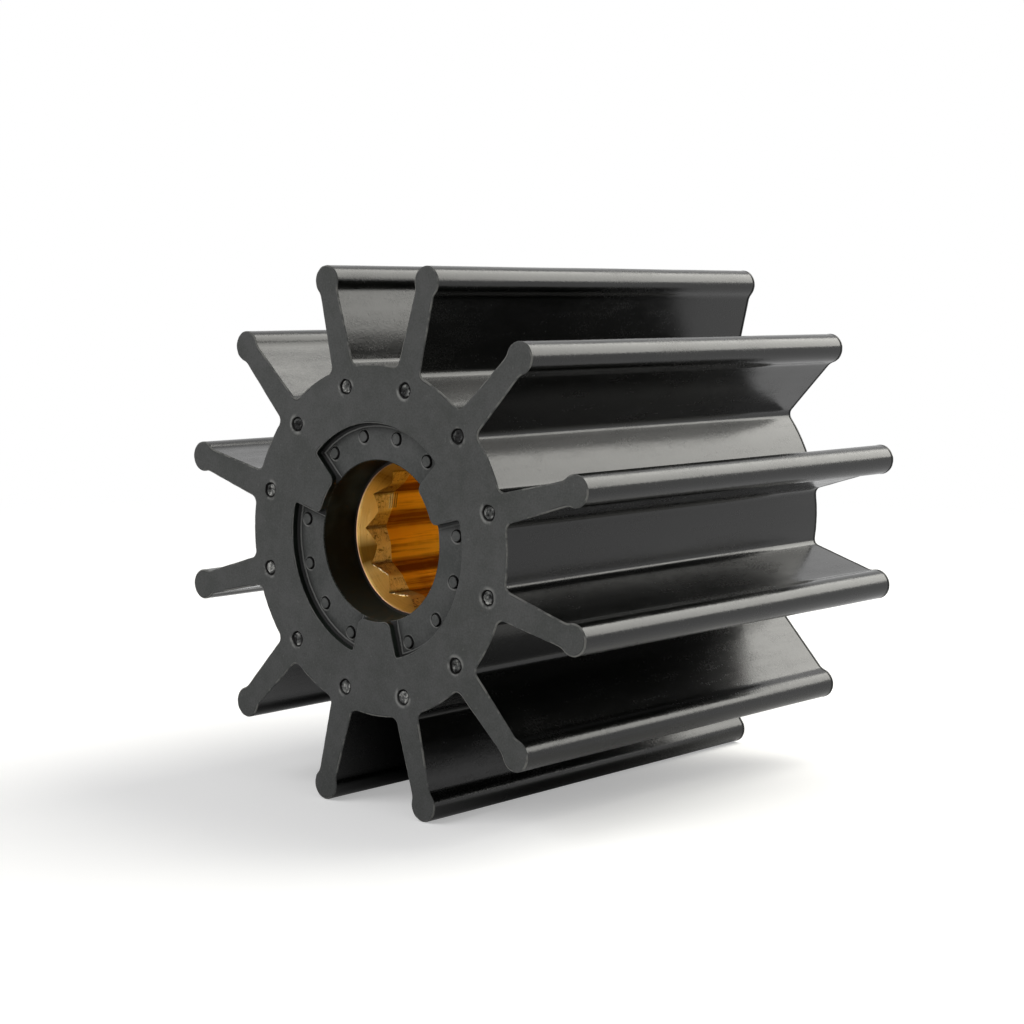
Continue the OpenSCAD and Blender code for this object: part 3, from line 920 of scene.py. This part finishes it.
deepBrass = {
    "dark": (0.36, 0.17, 0.009), "light": (1.0, 0.66, 0.08), "cut": (0.72, 0.52, 0.17), "rough": 0.32,
    "bump": (0.4, 0.03),
    # patches round the shaft, darker or lighter: painted shade and painted reflection on the facets
    "tarnish": [(170, 9, 0.8), (185, 10, -0.5), (217, 9, 0.8), (232, 8, 0.5), (140, 9, 1.0), (290, 9, 0.7),
                (350, 9, 0.7), (80, 9, 0.7)],
    "noise": {
        "drawn": (1500, 3, 0.65, 30, 1, 0.035, 1),   # lines along the grooves
        "cloud": (260, 2, 0.6, 31)},
}


def deepLook(s, bench, at):
    drawn, cloud = at.noises(s["noise"])
    rings, cut = toolRings(at, toolMarks)
    # painted shade and painted reflection on the facets, by their place round the shaft
    share = ((drawn * 0.8 + cloud * 0.2).ramp(0.3, 0.58) - fans(at.angle, s["tarnish"])).most(0.0).least(1.0)
    colour = bench.mixed(cut * 0.8, bench.mixed(share, s["dark"], s["light"]), s["cut"])
    colour = bench.mixed(rings * 0.85, edgeLines(bench, at, colour, s), entryBrass["dark"])
    return colour, s["rough"] + (drawn - 0.5) * 0.2, drawn - rings, 1.0


burrBrass = {
    "dark": (0.5, 0.34, 0.12), "light": (1.0, 0.86, 0.6), "rough": 0.28, "bump": (0.5, 0.03),
    "grain": (3500, 2, 0.6, 35),
}


def burrLook(s, bench, at):
    grain = bench.noise(at.spot, *s["grain"])
    colour = bench.mixed(grain.ramp(0.35, 0.6), s["dark"], s["light"])
    return colour, s["rough"] + (grain - 0.5) * 0.2, grain, 1.0


print("wheel")
recessHelper = newObject("recessHelper", recessThird(wheel))
rubberWheel = shaped("rubberWheel", bladeSector(wheel), wheelTree(wheel), math.radians(42), {
    "Blades": wheel["blades"], "First blade": wheel["firstBlade"],
    "Tabs": wheel["tabs"], "First tab": wheel["firstTab"], "Recess": recessHelper,
    "Unevenness": wheel["unevenness"] * mm, "Raggedness": wheel["raggedness"] * mm,
    "Tear": wheel["tear"] * mm, "Stray": wheel["stray"] * mm, "Seed": wheel["seed"],
    "Moulded": material("mouldedRubber", mouldedRubber, mouldedLook),
    "Trimmed": material("trimmedRubber", trimmedRubber, trimmedLook),
    "Bore": material("boreRubber", boreRubber, boreLook),
    "Floor": material("recessRubber", floorRubber, floorLook)})
bpy.data.objects.remove(recessHelper)

print("sleeve")
brassSleeve = shaped("brassSleeve", sleeveSector(sleeve), sleeveTree(sleeve), math.radians(30), {
    "Grooves": sleeve["grooves"], "First groove": sleeve["firstGroove"],
    "Tear": sleeve["tear"] * mm, "Seed": sleeve["seed"],
    "Turned": material("turnedBrass", turnedBrass, turnedLook),
    "Entry": material("entryBrass", entryBrass, entryLook),
    "Deep": material("deepBrass", deepBrass, deepLook)})

print("burrs")
brassBurrs = shaped("brassBurrs", burrLines(burrs, sleeve), burrTree(burrs), math.radians(60), {
    "Sides": burrs["sides"], "Stray": burrs["stray"] * mm, "Seed": burrs["seed"],
    "Metal": material("burrBrass", burrBrass, burrLook)})

pieces = [
    (rubberWheel, "rubber_wheel", "rubber"), (brassSleeve, "brass_sleeve", "brass"),
    (brassBurrs, "brass_sleeve", "brass")]
for piece, node, slot in pieces:
    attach(piece, "root")
    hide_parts(node)

# the studio

studio = {
    "camera": (254.627, -300.820, 44.303), "turn": (83.8154, -0.6284, 41.2048), "lens": 76.1935,
    "surround": 0.3,   # what the white surround gives as light
    "floorColour": 0.75, "floorGlow": 0.35, "fade": (0.22, 0.5), "glossFade": (0.02, 0.12), "floorReach": 8.0,
    "lamps": [   # name, place in mm, width and height in mm, colour, radiance
        ("backLamp", (280, 600, 610), (680, 1080), (1, 0.985, 0.92), 5.1),
        ("frontLamp", (-300, -640, 620), (620, 620), (1, 1, 1), 2.5)],
}
white = (1, 1, 1, 1)


def softLamp(name, place, size, colour, radiance):
    light = bpy.data.lights.new(name, "AREA")
    light.shape, light.size, light.size_y = "RECTANGLE", size[0] * mm, size[1] * mm
    light.color = colour
    light.energy = radiance * math.pi * size[0] * size[1] * mm ** 2
    lamp = newObject(name, light)
    lamp.location = Vector(place) * mm
    lamp.rotation_euler = (-lamp.location).to_track_quat("-Z", "Y").to_euler()


def studioWorld(s):   # white where it is seen, dimmer as a light
    world = bpy.data.worlds.new("studioWorld")
    world.use_nodes = True
    world.node_tree.nodes.clear()
    bench = Bench(world.node_tree)
    path = bench.node("ShaderNodeLightPath")
    seen = path.out("Is Camera Ray").most(path.out("Is Glossy Ray")).most(path.out("Is Transmission Ray"))
    glow = seen * (1 - s["surround"]) + s["surround"]
    back = bench.node("ShaderNodeBackground", {"Color": white, "Strength": glow})
    bench.node("ShaderNodeOutputWorld", {0: back})
    scene.world = world


def studioFloor(s):   # pale, with the shadow near the object and no horizon behind
    made, bench = openMaterial("paleFloor")
    path = bench.node("ShaderNodeLightPath")
    x = bench.node("ShaderNodeSeparateXYZ", {0: bench.node("ShaderNodeTexCoord").out("Object")})
    away = (x * x + x.out(1) * x.out(1)) ** 0.5
    mirrored = path.out("Is Glossy Ray").most(path.out("Is Transmission Ray"))
    far = path.out("Is Camera Ray") * away.ramp(*s["fade"])
    far = far.most(mirrored * away.ramp(*s["glossFade"]))
    plain = bench.node("ShaderNodeBsdfDiffuse", {"Color": (*[s["floorColour"]] * 3, 1)})
    glow = path.out("Is Camera Ray") * s["floorGlow"]
    glow = bench.node("ShaderNodeEmission", {"Color": white, "Strength": glow})
    near = bench.node("ShaderNodeAddShader", {0: plain, 1: glow})
    bright = bench.node("ShaderNodeEmission", {"Color": white, "Strength": 1.0})
    both = bench.node("ShaderNodeMixShader", {0: far, 1: near, 2: bright})
    bench.node("ShaderNodeOutputMaterial", {0: both})
    reach, low = s["floorReach"], cadBox[0][2]
    corners = [(reach * x, reach * y, low) for x, y in ((-1, -1), (1, -1), (1, 1), (-1, 1))]
    mesh = bpy.data.meshes.new("paleFloor")
    mesh.from_pydata(corners, [], [(0, 1, 2, 3)])
    mesh.materials.append(made)
    newObject("paleFloor", mesh)


print("studio")
studioWorld(studio)
studioFloor(studio)
for lamp in studio["lamps"]:
    softLamp(*lamp)
lens = bpy.data.cameras.new("photoCamera")
lens.sensor_width, lens.lens, lens.clip_start, lens.clip_end = 36, studio["lens"], 0.01, 60
camera = newObject("photoCamera", lens)
camera.location = Vector(studio["camera"]) * mm
camera.rotation_euler = [math.radians(a) for a in studio["turn"]]
scene.camera = camera
scene.view_settings.view_transform = "Standard"
